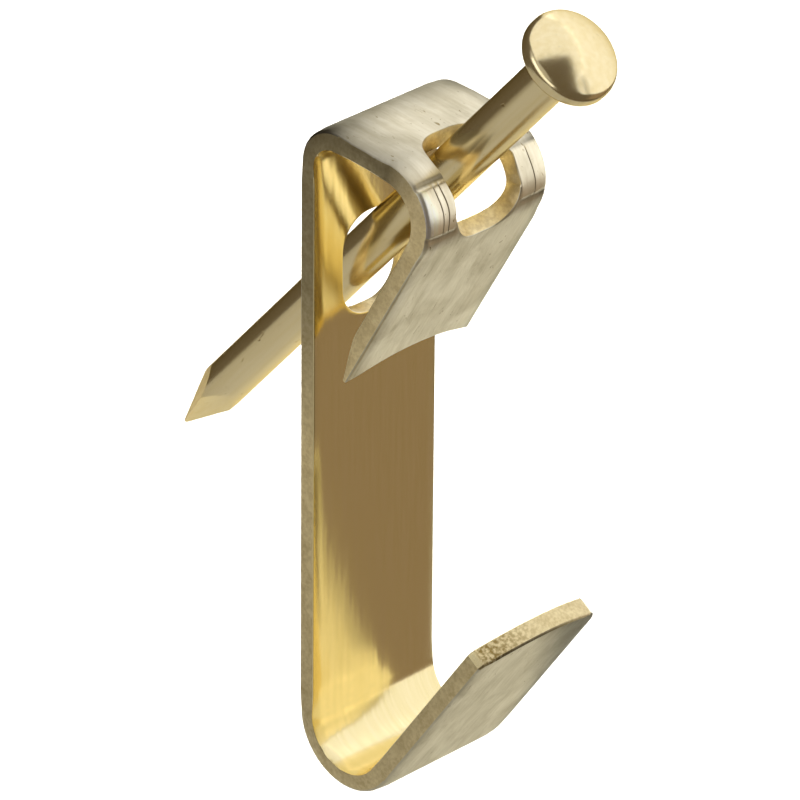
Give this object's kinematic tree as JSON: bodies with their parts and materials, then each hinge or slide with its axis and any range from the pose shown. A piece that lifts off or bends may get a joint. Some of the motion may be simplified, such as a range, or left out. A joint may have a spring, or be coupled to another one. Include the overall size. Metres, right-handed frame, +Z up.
{
  "type": "picture hook",
  "caption": "Picture hook: a narrow brass-plated strip folded into a hook at the foot and a slotted head at the top, with a slanting nail through the head that fixes it to a wall.",
  "frame": {"origin": "where the middle of the nail enters the wall, in the plane of the strip's rear face", "axes": "+Z up the wall, -Y out of the wall into the room, +X across the strip"},
  "size_m": [0.0072, 0.0238, 0.0373],
  "materials": {
    "strip_brass": "bright brass plate on steel strip",
    "nail_brass": "bright brass plate on a drawn steel nail"
  },
  "bodies": {
    "root": {"hook": "strip_brass", "nail": "nail_brass"}
  },
  "joints": []
}
